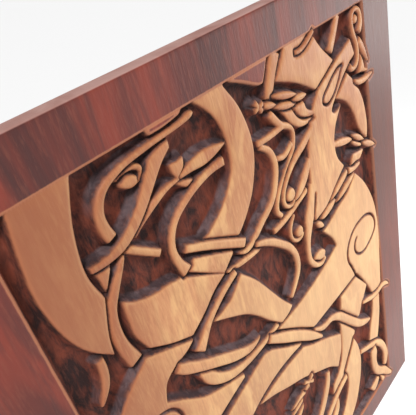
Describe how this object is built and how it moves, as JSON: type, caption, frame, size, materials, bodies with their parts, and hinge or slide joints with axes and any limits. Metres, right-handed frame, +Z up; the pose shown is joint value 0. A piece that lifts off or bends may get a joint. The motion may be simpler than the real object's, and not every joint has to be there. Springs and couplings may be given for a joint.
{
  "type": "carved wood wall sign",
  "caption": "Upright wooden wall panel with a flat raised border and a sunk field of carved interlaced ribbons, beast forms, braids and curling tendrils.",
  "frame": {"origin": "middle of the board's flat back face, where it meets the wall", "axes": "+Z up along the board's height, +X to the right as seen from the front, -Y out of the carved face and +Y into the wall"},
  "size_m": [0.525, 0.0185, 0.6],
  "materials": {
    "carved_wood": "stained and oiled, satin, with tool marks"
  },
  "bodies": {
    "root": {"carved_board": "carved_wood"}
  },
  "joints": []
}
